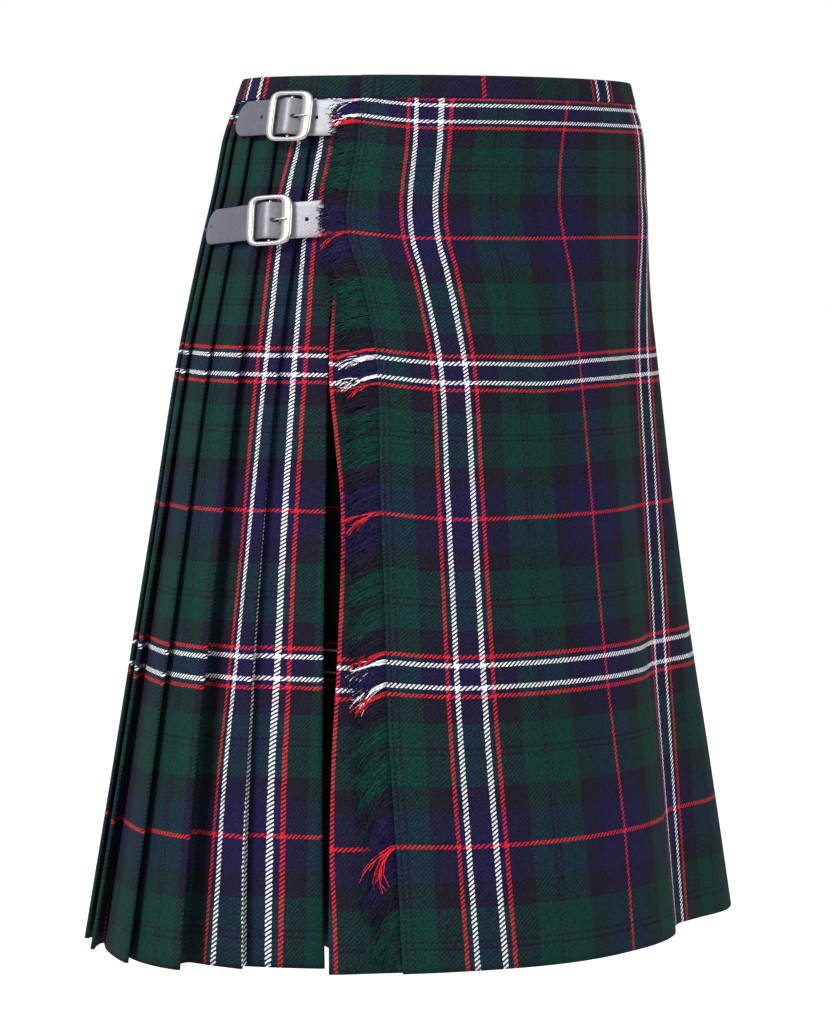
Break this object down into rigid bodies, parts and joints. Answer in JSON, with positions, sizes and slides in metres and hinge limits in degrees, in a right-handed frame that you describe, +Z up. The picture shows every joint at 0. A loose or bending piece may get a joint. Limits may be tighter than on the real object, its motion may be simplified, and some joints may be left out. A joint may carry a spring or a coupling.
{
  "type": "scottish kilt",
  "caption": "Knee-length tartan wool kilt in its worn shape with no wearer: flat fringed front apron, knife-pleated back and two leather straps fastened with metal buckles at the right hip.",
  "frame": {"origin": "centre of the waist at the top edge of the band", "axes": "+Z up through the waist opening, -Y to the wearer's front, -X to the wearer's right hip"},
  "size_m": [0.5163, 0.4401, 0.616],
  "materials": {
    "tartan_wool": "soft twill",
    "wool_fringe": "soft yarn",
    "strap_leather": "grained",
    "polished_nickel": "polished"
  },
  "bodies": {
    "root": {"waistband": "tartan_wool", "outer_apron": "tartan_wool", "pleated_back": "tartan_wool", "under_apron": "tartan_wool", "apron_fringe": "wool_fringe", "strap_upper": "strap_leather", "strap_lower": "strap_leather", "buckle_tab_upper": "strap_leather", "buckle_tab_lower": "strap_leather", "buckle_upper": "polished_nickel", "buckle_lower": "polished_nickel", "prong_upper": "polished_nickel", "prong_lower": "polished_nickel"}
  },
  "joints": []
}
